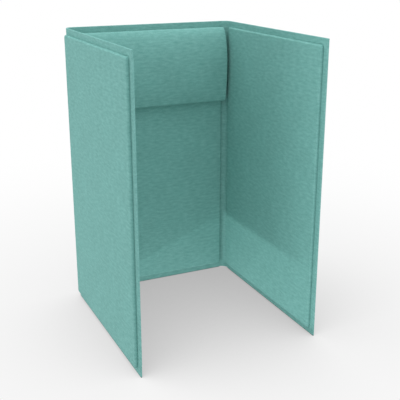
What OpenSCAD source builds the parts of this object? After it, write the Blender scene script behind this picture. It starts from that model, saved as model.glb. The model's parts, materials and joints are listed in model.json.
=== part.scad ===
// Upholstered seating partition: a padded back and two padded wings round a seat, with a
// headrest cushion across the top of the back. The wings fold on upright cloth hinges.
// Millimetres, +Z up, the open side faces -Y. The origin is on the floor, under the middle
// of the whole screen.

/* [Screen] */
// Height from the floor to the top edge of the flange
height = 1400; // [1200:10:1600]
// Width over the outside faces of the two wing flanges
width = 885; // [780:5:1000]
// Depth from the front edges of the wings to the outside face of the back flange
depth = 940; // [700:10:1100]
// Bare flange left beside the pads at the top, bottom and front
border = 30; // [20:1:45]
// Outside radius of the flange where it turns the two back corners
corner_r = 42; // [40:1:70]

/* [Flange] */
// Thickness of the stiff board inside the flange
core_t = 5; // [4:0.5:8]
// Thickness of the upholstery cloth
cloth_t = 1; // [0.6:0.1:1.4]
// Thickness of the wear strips under the bottom edges
strip_t = 2; // [1:0.5:4]
// Width of the wear strips
strip_w = 5; // [3:0.5:6]

/* [Pads] */
// How far a pad stands out from the flange
pad_t = 14; // [13:0.5:24]
// Thickness of the board that a pad is built on
pad_board_t = 4; // [3:0.5:5]
// Radius of the soft edge round a pad's face
pad_edge_r = 8.5; // [4:0.5:10]
// Radius of a pad's four corners, seen from the front
pad_corner_r = 12; // [8:1:25]
// Width of the cover's hem behind the pad board
hem_w = 20; // [12:1:30]

/* [Clips] */
// Diameter of a clip's stem
clip_d = 6; // [4:0.5:8]
// Diameter of a clip's collar
clip_collar_d = 16; // [12:1:20]
// Columns of clips behind a pad
clip_columns = 2; // [2:1:4]
// Rows of clips behind a pad
clip_rows = 4; // [3:1:6]
// Distance from a pad's edges to the nearest clips
clip_inset = 80; // [60:5:120]
// Height of the outer pads' clips above the inner pads' clips
clip_stagger = 30; // [22:1:45]

/* [Headrest] */
// Height of the cushion, down from the pads' top edge
rest_h = 384; // [330:2:460]
// Gap between each end of the cushion and the wing pad beside it
rest_gap = 16.5; // [8:0.5:20]
// Depth of the cushion at its top edge
rest_top_depth = 8; // [6:0.5:12]
// Depth of the cushion at its lower edge
rest_low_depth = 39; // [25:1:45]
// Pull of the upper half outwards, as the outermost point of its curve's handle
rest_upper_pull = 68; // [50:1:80]
// Pull of the lower half outwards
rest_lower_pull = 64; // [50:1:75]
// Distance of the upper handle below the top edge
rest_upper_drop = 54; // [40:1:80]
// Distance of the lower handle above the lower edge
rest_lower_rise = 135; // [100:1:160]
// Radius of the cushion's lower front edge
rest_low_r = 12; // [8:1:16]
// Radius of the soft edges round the two ends
rest_end_r = 6; // [4:0.5:8]
// Thickness of the board behind the cushion
rest_board_t = 3; // [2:0.5:3.5]

/* [Tapes] */
// Thickness of one hook or loop tape
tape_t = 1.2; // [0.8:0.1:2]
// Width of the tapes
tape_w = 30; // [20:1:50]
// Distance of the tapes' ends from the cushion's top and lower edges
tape_margin = 67; // [45:1:100]
// Number of upright tape pairs behind the headrest
tape_count = 3; // [2:1:4]

/* [Fits] */
// Gap between layers that are laid or glued on each other
layer_gap = 0.1; // [0.05:0.05:0.3]
// Gap round a clip's stem in its holes
clip_gap = 0.2; // [0.1:0.05:0.4]
// Gap between the pieces where a panel meets a corner
bend_gap = 0.3; // [0.2:0.05:1]

/* [Hidden] */

$fn = 48;
teal = [0.45, 0.67, 0.64];
deep_teal = [0.38, 0.6, 0.57];
board_tan = [0.72, 0.58, 0.4];
foam_cream = [0.93, 0.9, 0.78];
plastic_white = [0.85, 0.86, 0.86];
plastic_grey = [0.35, 0.37, 0.38];

// Steps in a quarter circle of a soft edge, and in a corner of a pad
edge_steps = 4;
corner_steps = 4;
// Steps along the headrest's front curve and round its lower edge
curve_steps = 14;
low_steps = 4;
// Overrun that carries a cut clear of the faces it opens
cut = 1;
// Smallest radius and smallest depth left on a soft form
least = 0.6;

// The flange: its thickness, and the length of its flat part in the back and in a wing
flange_t = core_t + 2 * (cloth_t + layer_gap);
front_y = -(depth + pad_t) / 2;
back_y = front_y + depth;
back_len = width - 2 * corner_r;
wing_len = depth - corner_r;
core_bottom = strip_t + cloth_t + layer_gap;
core_top = height - cloth_t - layer_gap;

// The layers of a pad, counted from the face of the flange outwards
hem_y = layer_gap;
pad_board_y = hem_y + cloth_t + layer_gap;
pad_foam_y = pad_board_y + pad_board_t + layer_gap;
pad_h = height - 2 * border;
pad_z = height / 2;
pad_soft_r = min(pad_edge_r, pad_t - pad_foam_y - layer_gap);
clip_reach = 0.5;

// The headrest: the back pad's face, the two layers of tape on it, then the cushion's back,
// its length and its height. At its thin edges it keeps the depth that its layers need.
rest_seat_y = back_y - flange_t - pad_t;
loop_y = rest_seat_y - layer_gap - tape_t;
hook_y = loop_y - layer_gap - tape_t;
rest_back_y = hook_y + cloth_t;
rest_len = width - 2 * (flange_t + pad_t + rest_gap);
rest_top = height - border;
rest_bottom = rest_top - rest_h;
rest_mid = (rest_top + rest_bottom) / 2;
rest_foam_y = cloth_t + rest_board_t + 2 * layer_gap;
rest_least_depth = rest_foam_y + least + layer_gap + cloth_t;
rest_board_inset = rest_end_r + cloth_t + layer_gap;
tape_pitch = rest_len / tape_count;
tape_l = rest_h - 2 * tape_margin;

// One quarter of a soft edge, as [inset, y] pairs from the side to the face, for an edge of
// radius r whose face lies at y = face, drawn in by d on every side
function soft_edge(face, r, d) = [
    for (k = [0:edge_steps])
        let (a = 90 * k / edge_steps)
        [r - (r - d) * cos(a), face - r + (r - d) * sin(a)]
];

function reversed(list) = [for (k = [len(list) - 1:-1:0]) list[k]];

// A rounded rectangle w by h in the XZ plane at y, drawn in by inset on every side
function pad_ring(w, h, inset, y) =
    let (
        r = max(pad_corner_r - inset, least),
        cx = w / 2 - inset - r,
        cz = h / 2 - inset - r
    ) [
        for (q = [0:3], k = [0:corner_steps])
            let (
                a = 90 * (q + k / corner_steps),
                sx = (q == 0 || q == 3) ? 1 : -1,
                sz = (q < 2) ? 1 : -1
            )
            [sx * cx + r * cos(a), y, sz * cz + r * sin(a)]
    ];

function middle(ring) = [for (axis = [0:2]) (min([for (p = ring) p[axis]]) + max([for (p = ring) p[axis]])) / 2];

// A closed skin of triangles through rings with the same number of points, with a fan over
// the first ring and one over the last
module skin(rings) {
    n = len(rings[0]);
    m = len(rings);
    points = [for (ring = rings) each ring, middle(rings[0]), middle(rings[m - 1])];
    sides = [
        for (j = [0:m - 2], i = [0:n - 1])
            let (
                a = j * n + i,
                b = j * n + (i + 1) % n
            )
            each [[a, b, b + n], [a, b + n, a + n]]
    ];
    first_fan = [for (i = [0:n - 1]) [m * n, (i + 1) % n, i]];
    last_fan = [for (i = [0:n - 1]) [m * n + 1, (m - 1) * n + i, (m - 1) * n + (i + 1) % n]];
    polyhedron(points = points, faces = concat(sides, first_fan, last_fan));
}

// Places where things are made. A panel is made flat: its length along X, its outside
// towards +Y and the middle of its flange at y = 0.
module on_back() {
    translate([0, back_y - flange_t / 2, 0]) children();
}

module on_left() {
    translate([-(width - flange_t) / 2, front_y + wing_len / 2, 0]) rotate([0, 0, 90]) children();
}

module on_right() {
    mirror([1, 0, 0]) on_left() children();
}

// The face of the flange that a pad sits on, with the pad's own outside towards +Y
module on_outer_face(shift) {
    translate([shift, flange_t / 2, pad_z]) children();
}

module on_inner_face(shift) {
    mirror([0, 1, 0]) on_outer_face(shift) children();
}

// A bar between two corners
module bar(x0, x1, y0, y1, z0, z1) {
    translate([x0, y0, z0]) cube([x1 - x0, y1 - y0, z1 - z0]);
}

// Clip places on a pad w long, as [x, z] pairs from the pad's middle, raised by lift
function clip_spots(w, lift) = [
    for (c = [0:clip_columns - 1], r = [0:clip_rows - 1])
        [
            (w - 2 * clip_inset) * (c / (clip_columns - 1) - 0.5),
            (pad_h - 2 * clip_inset - clip_stagger) * (r / (clip_rows - 1) - 0.5) + lift
        ]
];

inner_lift = -clip_stagger / 2;
outer_lift = clip_stagger / 2;

// A round rod along +Y from y0 to y1 at a clip's place
module clip_rod(spot, d, y0, y1) {
    translate([spot[0], y0, spot[1]]) rotate([-90, 0, 0]) cylinder(d = d, h = y1 - y0);
}

// Holes for one pad's clips, through whatever lies between y0 and y1
module clip_holes(w, lift, y0, y1) {
    for (spot = clip_spots(w, lift)) clip_rod(spot, clip_d + 2 * clip_gap, y0, y1);
}

// Double-ended clips: a stem into the core board, a collar behind the pad board and a stem
// into the pad board
module clips(w, lift) {
    core_reach = cloth_t + layer_gap + core_t - clip_reach;
    pad_reach = pad_board_y + pad_board_t - clip_reach;
    color(plastic_white)
    for (spot = clip_spots(w, lift)) {
        clip_rod(spot, clip_collar_d, hem_y, hem_y + cloth_t);
        clip_rod(spot, clip_d, -core_reach, pad_reach);
    }
}

// Stiff board of a panel len long. Its ends stop short of the corners, and inside the
// sleeve where front_closed is true
module core_board(len, pad_w, shift, front_closed) {
    front_inset = front_closed ? cloth_t + layer_gap : bend_gap;
    color(board_tan)
    difference() {
        bar(-len / 2 + front_inset, len / 2 - bend_gap, -core_t / 2, core_t / 2, core_bottom, core_top);
        translate([shift, 0, pad_z]) {
            clip_holes(pad_w, inner_lift, -core_t, core_t);
            clip_holes(pad_w, outer_lift, -core_t, core_t);
        }
    }
}

// Cloth skin round a core board, open at the ends that meet a corner
module core_sleeve(len, pad_w, shift, front_closed) {
    inside = core_t / 2 + layer_gap;
    front_end = -len / 2 + (front_closed ? 0 : bend_gap);
    cavity_front = front_closed ? -len / 2 + cloth_t : -len / 2 - cut;
    color(teal)
    difference() {
        bar(front_end, len / 2 - bend_gap, -flange_t / 2, flange_t / 2, strip_t, height);
        bar(cavity_front, len / 2 + cut, -inside, inside, strip_t + cloth_t, height - cloth_t);
        on_outer_face(shift) clip_holes(pad_w, outer_lift, -cloth_t - cut, cut);
        on_inner_face(shift) clip_holes(pad_w, inner_lift, -cloth_t - cut, cut);
    }
}

// Wear strip under a panel
module floor_strip(len) {
    color(plastic_grey) bar(-len / 2, len / 2 - bend_gap, -strip_w / 2, strip_w / 2, 0, strip_t);
}

// Board that a pad w long is built on, with the outline of the cover's inside
module pad_board(w, lift) {
    outline = [for (p = pad_ring(w, pad_h, cloth_t + layer_gap, 0)) [p[0], p[2]]];
    color(board_tan)
    difference() {
        translate([0, pad_board_y + pad_board_t, 0]) rotate([90, 0, 0]) linear_extrude(pad_board_t)
            polygon(outline);
        clip_holes(w, lift, pad_board_y - cut, pad_board_y + pad_board_t + cut);
    }
}

// Foam slab with soft edges, between the pad board and the cover
module pad_foam(w) {
    d = cloth_t + layer_gap;
    profile = concat([[d, pad_foam_y]], soft_edge(pad_t, pad_soft_r, d));
    color(foam_cream) skin([for (p = profile) pad_ring(w, pad_h, p[0], p[1])]);
}

// Cloth cover with a soft edge, folded behind the board into a hem
module pad_cover(w) {
    inside = concat([[cloth_t, hem_y + cloth_t]], soft_edge(pad_t, pad_soft_r, cloth_t));
    hem = [[hem_w, hem_y + cloth_t], [hem_w, hem_y]];
    outside = concat([[0, hem_y]], soft_edge(pad_t, pad_soft_r, 0));
    profile = concat(reversed(inside), hem, outside);
    color(teal) skin([for (p = profile) pad_ring(w, pad_h, p[0], p[1])]);
}

// Flexible web that joins two core boards round a corner, in the left back corner
module corner_web() {
    outside = corner_r - cloth_t - layer_gap;
    color(plastic_grey)
    translate([-back_len / 2, back_y - corner_r, core_bottom]) rotate([0, 0, 90])
        rotate_extrude(angle = 90, $fn = 96) translate([outside - core_t, 0]) square([core_t, core_top - core_bottom]);
}

// Cloth skin round the corner web
module corner_sleeve() {
    inside = corner_r - flange_t;
    color(teal)
    translate([-back_len / 2, back_y - corner_r, 0]) rotate([0, 0, 90])
        rotate_extrude(angle = 90, $fn = 96) difference() {
            translate([inside, strip_t]) square([flange_t, height - strip_t]);
            translate([inside + cloth_t, strip_t + cloth_t])
                square([flange_t - 2 * cloth_t, height - strip_t - 2 * cloth_t]);
        }
}

// The headrest's front curve, as [depth, height] points from the top edge to the lower edge
function rest_curve(t) =
    let (
        s = 1 - t,
        top = [rest_top_depth, rest_top],
        upper = [rest_upper_pull, rest_top - rest_upper_drop],
        lower = [rest_lower_pull, rest_bottom + rest_lower_rise],
        low = [rest_low_depth, rest_bottom + rest_low_r]
    )
    s * s * s * top + 3 * s * s * t * upper + 3 * s * t * t * lower + t * t * t * low;

// The headrest's section with the back at depth seat, drawn in by inset on every other side.
// Its front lies at least as deep as thinnest.
function rest_section(seat, inset, thinnest) =
    let (
        squeeze = 1 - 2 * inset / rest_h,
        front = [for (k = [0:curve_steps]) rest_curve(k / curve_steps)],
        low = [
            for (k = [1:low_steps])
                let (a = 90 * k / low_steps)
                [rest_low_depth - rest_low_r * (1 - cos(a)), rest_bottom + rest_low_r * (1 - sin(a))]
        ]
    )
    concat(
        [[seat, rest_bottom + inset], [seat, rest_top - inset]],
        [for (p = concat(front, low)) [max(p[0] - inset, thinnest), rest_mid + (p[1] - rest_mid) * squeeze]]
    );

// A solid through the headrest's sections from its right end to its left, with soft edges
// round both ends, drawn in by d on every side but the back
module rest_form(seat, d) {
    right_end = soft_edge(rest_len / 2, rest_end_r, d);
    left_end = [for (p = right_end) [p[0], -p[1]]];
    stations = concat(reversed(right_end), left_end);
    skin([
        for (s = stations)
            [for (p = rest_section(seat, s[0], rest_least_depth - d)) [s[1], rest_back_y - p[0], p[1]]]
    ]);
}

// Cloth cover of the headrest, folded behind its board into a hem
module headrest_cover() {
    window_x = rest_len / 2 - rest_end_r - hem_w;
    color(teal)
    difference() {
        rest_form(0, 0);
        rest_form(cloth_t, cloth_t);
        bar(-window_x, window_x, rest_back_y - cloth_t - least / 2, rest_back_y + cut,
            rest_bottom + hem_w, rest_top - hem_w);
    }
}

module headrest_foam() {
    color(foam_cream) rest_form(rest_foam_y, cloth_t + layer_gap);
}

module headrest_board() {
    x = rest_len / 2 - rest_board_inset;
    y = rest_back_y - cloth_t - layer_gap;
    color(board_tan)
    bar(-x, x, y - rest_board_t, y, rest_bottom + rest_board_inset, rest_top - rest_board_inset);
}

// Upright tapes in a row behind the headrest, with their front faces at y. The hook tapes are
// glued to its board inside the cover's hem, and the loop tapes are sewn on the back pad.
module tapes(y, tint) {
    color(tint)
    for (k = [0:tape_count - 1])
        translate([(k - (tape_count - 1) / 2) * tape_pitch, 0, rest_mid])
            bar(-tape_w / 2, tape_w / 2, y, y + tape_t, -tape_l / 2, tape_l / 2);
}

// Pads on the wings leave the border bare at the front, so their middle sits back by half
back_pad_w = back_len;
wing_pad_w = wing_len - border;
wing_shift = border / 2;

module back_core_board() on_back() core_board(back_len, back_pad_w, 0, false);
module back_core_sleeve() on_back() core_sleeve(back_len, back_pad_w, 0, false);
module back_floor_strip() on_back() floor_strip(back_len);
module back_inner_pad_board() on_back() on_inner_face(0) pad_board(back_pad_w, inner_lift);
module back_inner_pad_foam() on_back() on_inner_face(0) pad_foam(back_pad_w);
module back_inner_pad_cover() on_back() on_inner_face(0) pad_cover(back_pad_w);
module back_inner_clips() on_back() on_inner_face(0) clips(back_pad_w, inner_lift);
module back_outer_pad_board() on_back() on_outer_face(0) pad_board(back_pad_w, outer_lift);
module back_outer_pad_foam() on_back() on_outer_face(0) pad_foam(back_pad_w);
module back_outer_pad_cover() on_back() on_outer_face(0) pad_cover(back_pad_w);
module back_outer_clips() on_back() on_outer_face(0) clips(back_pad_w, outer_lift);
module headrest_hook_tapes() tapes(hook_y, plastic_grey);
module headrest_loop_tapes() tapes(loop_y, deep_teal);

// One wing's pieces, made for the left side
module wing_core_board() core_board(wing_len, wing_pad_w, wing_shift, true);
module wing_core_sleeve() core_sleeve(wing_len, wing_pad_w, wing_shift, true);
module wing_floor_strip() floor_strip(wing_len);
module wing_inner_pad_board() on_inner_face(wing_shift) pad_board(wing_pad_w, inner_lift);
module wing_inner_pad_foam() on_inner_face(wing_shift) pad_foam(wing_pad_w);
module wing_inner_pad_cover() on_inner_face(wing_shift) pad_cover(wing_pad_w);
module wing_inner_clips() on_inner_face(wing_shift) clips(wing_pad_w, inner_lift);
module wing_outer_pad_board() on_outer_face(wing_shift) pad_board(wing_pad_w, outer_lift);
module wing_outer_pad_foam() on_outer_face(wing_shift) pad_foam(wing_pad_w);
module wing_outer_pad_cover() on_outer_face(wing_shift) pad_cover(wing_pad_w);
module wing_outer_clips() on_outer_face(wing_shift) clips(wing_pad_w, outer_lift);

module left_core_board() on_left() wing_core_board();
module left_core_sleeve() on_left() wing_core_sleeve();
module left_floor_strip() on_left() wing_floor_strip();
module left_inner_pad_board() on_left() wing_inner_pad_board();
module left_inner_pad_foam() on_left() wing_inner_pad_foam();
module left_inner_pad_cover() on_left() wing_inner_pad_cover();
module left_inner_clips() on_left() wing_inner_clips();
module left_outer_pad_board() on_left() wing_outer_pad_board();
module left_outer_pad_foam() on_left() wing_outer_pad_foam();
module left_outer_pad_cover() on_left() wing_outer_pad_cover();
module left_outer_clips() on_left() wing_outer_clips();
module left_corner_web() corner_web();
module left_corner_sleeve() corner_sleeve();

module right_core_board() on_right() wing_core_board();
module right_core_sleeve() on_right() wing_core_sleeve();
module right_floor_strip() on_right() wing_floor_strip();
module right_inner_pad_board() on_right() wing_inner_pad_board();
module right_inner_pad_foam() on_right() wing_inner_pad_foam();
module right_inner_pad_cover() on_right() wing_inner_pad_cover();
module right_inner_clips() on_right() wing_inner_clips();
module right_outer_pad_board() on_right() wing_outer_pad_board();
module right_outer_pad_foam() on_right() wing_outer_pad_foam();
module right_outer_pad_cover() on_right() wing_outer_pad_cover();
module right_outer_clips() on_right() wing_outer_clips();
module right_corner_web() mirror([1, 0, 0]) corner_web();
module right_corner_sleeve() mirror([1, 0, 0]) corner_sleeve();

back_core_board();
back_core_sleeve();
back_floor_strip();
back_inner_pad_board();
back_inner_pad_foam();
back_inner_pad_cover();
back_inner_clips();
back_outer_pad_board();
back_outer_pad_foam();
back_outer_pad_cover();
back_outer_clips();
headrest_board();
headrest_foam();
headrest_cover();
headrest_hook_tapes();
headrest_loop_tapes();
left_core_board();
left_core_sleeve();
left_floor_strip();
left_inner_pad_board();
left_inner_pad_foam();
left_inner_pad_cover();
left_inner_clips();
left_outer_pad_board();
left_outer_pad_foam();
left_outer_pad_cover();
left_outer_clips();
left_corner_web();
left_corner_sleeve();
right_core_board();
right_core_sleeve();
right_floor_strip();
right_inner_pad_board();
right_inner_pad_foam();
right_inner_pad_cover();
right_inner_clips();
right_outer_pad_board();
right_outer_pad_foam();
right_outer_pad_cover();
right_outer_clips();
right_corner_web();
right_corner_sleeve();
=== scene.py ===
import json
import math
from types import SimpleNamespace

import bpy
import numpy as np
from bpy.props import FloatProperty, FloatVectorProperty, IntProperty, PointerProperty
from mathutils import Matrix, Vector


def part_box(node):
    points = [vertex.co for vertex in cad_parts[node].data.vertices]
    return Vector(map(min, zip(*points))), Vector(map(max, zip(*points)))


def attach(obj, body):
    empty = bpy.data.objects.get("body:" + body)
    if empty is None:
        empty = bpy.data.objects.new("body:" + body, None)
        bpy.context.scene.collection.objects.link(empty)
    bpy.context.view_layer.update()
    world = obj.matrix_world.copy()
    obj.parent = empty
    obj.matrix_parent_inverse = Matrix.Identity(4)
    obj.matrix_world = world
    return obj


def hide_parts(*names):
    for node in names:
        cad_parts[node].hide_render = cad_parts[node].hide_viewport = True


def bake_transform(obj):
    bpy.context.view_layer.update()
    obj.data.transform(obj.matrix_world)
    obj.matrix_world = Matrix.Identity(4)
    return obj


bl_info = {
    "name": "Seating Partition",
    "version": (1, 0, 0),
    "blender": (4, 5, 0),
    "location": "View3D > Sidebar > Partition",
    "description": "Upholstery and finishes of a three-sided padded screen round a seat",
    "category": "Object",
}

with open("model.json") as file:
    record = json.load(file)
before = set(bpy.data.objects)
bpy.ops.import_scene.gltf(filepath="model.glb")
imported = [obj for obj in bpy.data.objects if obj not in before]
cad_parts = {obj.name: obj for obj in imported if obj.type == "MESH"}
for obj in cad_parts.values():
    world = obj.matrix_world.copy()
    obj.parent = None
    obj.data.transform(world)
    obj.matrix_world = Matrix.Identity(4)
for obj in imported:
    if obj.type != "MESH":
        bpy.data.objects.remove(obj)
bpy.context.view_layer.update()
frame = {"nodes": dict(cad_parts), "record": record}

MM = 0.001
# The low lamp is a long strip outside the left wing, below the floor, which lets its light through.
# It shines on the cloth that such light reaches inside the screen, and on nothing else.
LOW_LAMP_PLACE = (-6.4, -1.9, -2.33)
LOW_LAMP_AIM = (0.4, -1.9, 0.32)
LOW_LAMP_SIZE = (3.0, 0.2)
LIT_BY_LOW_LAMP = (
    "right_inner_pad_cloth",
    "back_inner_pad_cloth",
    "right_flange_cloth",
    "right_bend_cloth",
)
# An unseen card below the floor, under the left wing, keeps the low lamp off the lowest edge
CARD_X = -0.44
CARD_LOW, CARD_HIGH = -0.33, -0.266
CARD_FRONT, CARD_BACK = -2.0, 1.0
# The floor is shaded as if it leant a little to the left, where more of its light comes from
FLOOR_LEAN = (-0.17, 0.0, 0.985)
# Half the floor's width, and the distances from its middle between which its shading fades to white
FLOOR_HALF = 30
FADE_FROM, FADE_TO = 1.0, 3.5
# Brightness of floor that sees 82 parts in 100 of its sky
NEARLY_OPEN_SKY, NEARLY_OPEN_FLOOR = 0.82, 0.895
HALF_OPEN_SKY = 0.6
# Power of the cosine with which the overhead light fades away from straight above
OVERHEAD_FOCUS = 6.0
# Name of the UV map that holds each cloth piece's place in the flat cloth, in metres
PATTERN = "cloth_pattern"
# Points nearer than this are sewn into one vertex
WELD = 0.00001
# Smallest radius left where an outline is drawn in past its own corner
LEAST = 0.0006
# Room between two layers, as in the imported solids
CLEARANCE = 0.0001
# Rows of faces over a soft edge, and over the tighter turn of a tuck or a lower edge
EDGE_ROWS, TUCK_ROWS, CORNER_ROWS = 7, 4, 5
# How much coarser the faces of the unseen foam are than those of its cover
FOAM_COARSER = 4
# The headrest's cover is held up to this depth, and loosens over the next
HELD_DEPTH, LOOSENING = 3 * MM, 14 * MM
# Distance from the back panel at which the headrest's stitches start
STITCH_START = 2 * MM
# Points at which the headrest's front curve is measured
CURVE_SAMPLES = 200
QUARTER = math.pi / 2


def to_linear(hex_colour):
    """An sRGB colour such as "#7FB5AE" as the linear colour that a socket takes."""
    channels = [int(hex_colour[k : k + 2], 16) / 255 for k in (1, 3, 5)]
    return [*(c / 12.92 if c <= 0.04045 else ((c + 0.055) / 1.055) ** 2.4 for c in channels), 1.0]


def number(name, description, default, **options):
    """A property for a plain number, or for three of them."""
    kind = FloatVectorProperty if isinstance(default, tuple) else FloatProperty
    return kind(name=name, description=description, default=default, **options)


def length(name, description, default_mm):
    """A length property, given in millimetres."""
    return number(name, description, default_mm * MM, min=0, unit="LENGTH")


def colour(name, description, hex_colour):
    """A colour property, given as an sRGB hex value."""
    linear = tuple(to_linear(hex_colour))
    return number(name, description, linear, size=4, min=0, max=1, subtype="COLOR")


class ClothSettings(bpy.types.PropertyGroup):
    """The wool cloth that covers every face of the screen."""

    base: colour("Cloth", "Main colour of the cloth", "#7AB4AE")
    dark_fibre: colour("Dark fibres", "Colour of the darker fibres in the melange", "#69A49D")
    light_fibre: colour("Light fibres", "Colour of the lighter fibres in the melange", "#8BC3BD")
    thread: length("Thread spacing", "Distance between two threads of the weave, as drawn", 3)
    slub: length("Slub length", "Length of the streaks along the weft", 34)


class FlangeSettings(bpy.types.PropertyGroup):
    """The thin cloth-covered flange that runs round the three sides."""

    edge_radius: length("Edge radius", "Radius of the cloth where it wraps the board's edges", 2.6)
    web_edge_radius: length("Web edge radius", "Radius on the edges of the flexible webs", 0.5)
    edge_steps: IntProperty(
        name="Edge steps", description="Faces round one wrapped edge", default=5, min=2)
    bend_steps: IntProperty(
        name="Bend steps", description="Faces round one back corner", default=28, min=8)


class PadSettings(bpy.types.PropertyGroup):
    """The six pads that stand out from the flange."""

    edge_radius: length("Edge radius", "Radius of the soft edge round a pad's face", 8.5)
    corner_radius: length("Corner radius", "Radius of a pad's corners, seen from the front", 12)
    tuck_radius: length("Tuck radius", "Radius of the cloth where it turns under the pad", 2)
    hem: length("Hem", "Width of the cloth that is turned in behind the pad", 20)
    cloth: length("Cloth thickness", "Thickness of the cover", 1)
    crown: length("Crown", "How far the foam pushes the middle of a pad out", 1.6)
    pull: length("Pull marks", "Depth of the pull marks between the cover's fixings", 0.35)
    pull_pitch: length("Pull pitch", "Distance between the cover's fixings", 62)
    spacing: length("Face spacing", "Size of one face in the middle of a pad", 13)


class HeadrestSettings(bpy.types.PropertyGroup):
    """The bowed cushion across the top of the back."""

    top_depth: length("Top depth", "Depth of the cushion at its top edge", 8)
    low_depth: length("Lower depth", "Depth of the cushion at its lower edge", 39)
    upper_pull: length("Upper pull", "Outermost reach of the upper half's curve handle", 68)
    lower_pull: length("Lower pull", "Outermost reach of the lower half's curve handle", 64)
    upper_drop: length("Upper drop", "Distance of the upper handle below the top edge", 54)
    lower_rise: length("Lower rise", "Distance of the lower handle above the lower edge", 135)
    low_radius: length("Lower edge radius", "Radius of the lower front edge", 12)
    end_radius: length("End radius", "Radius of the soft edges round the two ends", 6)
    seam_depth: length("Seam depth", "Depth of the sewn seam round each end panel", 0.8)
    swell: length("Swell", "How far the filling pushes the cover out", 3)
    spacing: length("Face spacing", "Size of one face of the cushion", 9)
    stitch_length: length("Stitch length", "Length of one stitch beside the end seams", 3.4)
    stitch_pitch: length("Stitch pitch", "Distance from one stitch to the next", 4.4)
    thread: length("Thread", "Thickness of the sewing thread", 0.6)


class StageSettings(bpy.types.PropertyGroup):
    """The camera, the floor and the light."""

    azimuth: number(
        "Azimuth", "Side from which the camera looks", math.radians(-25.11), subtype="ANGLE")
    elevation: number(
        "Elevation", "Angle of the view above level", math.radians(18.39), subtype="ANGLE")
    eye: number(
        "Eye", "Place of the camera", (-1.416, -3.156, 1.753), subtype="TRANSLATION", unit="LENGTH")
    lens: number("Lens", "Focal length, in millimetres on a 36 mm sensor", 67.68)
    floor: colour("Floor", "Colour of the floor", "#F1F1F1")
    reach: number("Shadow reach", "How far the screen darkens the floor", 2.0, unit="LENGTH")
    closed_floor: number("Closed floor", "Brightness of the most shaded floor", 0.34)
    half_floor: number(
        "Half-open floor", "Brightness of floor that sees 6 parts in 10 of its sky", 0.76)
    open_floor: number("Open floor", "Brightness of the unshaded floor near the screen", 0.96)
    sky: number("Sky", "Strength of the even light from all round", 0.02)
    sky_over: number(
        "More light from", "Extra light from the right, the back and above", (0.77, 1.15, 0.0))
    sky_under: number(
        "And from", "Extra light from the left, the front and below", (0.635, 0.74, 0.02))
    overhead: number("Overhead", "Extra light from straight above", 2.75)
    low_lamp: number(
        "Low lamp", "Power of the lamp that lights from low on the left, in watts", 134)


def flange_plan():
    """Sizes of the flange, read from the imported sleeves. The right side mirrors the left."""
    back_low, back_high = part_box("back_core_sleeve")
    bend_low, bend_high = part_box("right_corner_sleeve")
    wing_low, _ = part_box("right_core_sleeve")
    thick = back_high.y - back_low.y
    return {
        "thick": thick,
        "low": back_low.z,
        "high": back_high.z,
        "turn_x": bend_low.x,
        "turn_y": bend_low.y,
        "radius": bend_high.x - bend_low.x - thick / 2,
        "front": wing_low.y,
    }


def add_node(tree, kind, inputs=None, **settings):
    """Adds a node with its settings. Each input is given as a value, as the socket that feeds it,
    or as the node whose first output feeds it."""
    node = tree.nodes.new(kind)
    for name, value in settings.items():
        setattr(node, name, value)
    for name, value in (inputs or {}).items():
        if isinstance(value, bpy.types.Node):
            value = value.outputs[0]
        if isinstance(value, bpy.types.NodeSocket):
            tree.links.new(value, node.inputs[name])
        else:
            node.inputs[name].default_value = value
    return node


def maths(tree, operation, *inputs):
    """A node that works on numbers, with its inputs in order."""
    return add_node(tree, "ShaderNodeMath", dict(enumerate(inputs)), operation=operation)


def vector_maths(tree, operation, *inputs, **named):
    """A node that works on vectors, with its inputs in order and any others by name."""
    numbered = dict(enumerate(inputs))
    return add_node(tree, "ShaderNodeVectorMath", {**numbered, **named}, operation=operation)


def new_material(name, shader_inputs):
    """A material that is one Principled BSDF, with its tree and that shader."""
    material = bpy.data.materials.new(name)
    material.use_nodes = True
    tree = material.node_tree
    tree.nodes.clear()
    shader = add_node(tree, "ShaderNodeBsdfPrincipled", shader_inputs)
    add_node(tree, "ShaderNodeOutputMaterial", {"Surface": shader})
    return material, tree, shader


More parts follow.
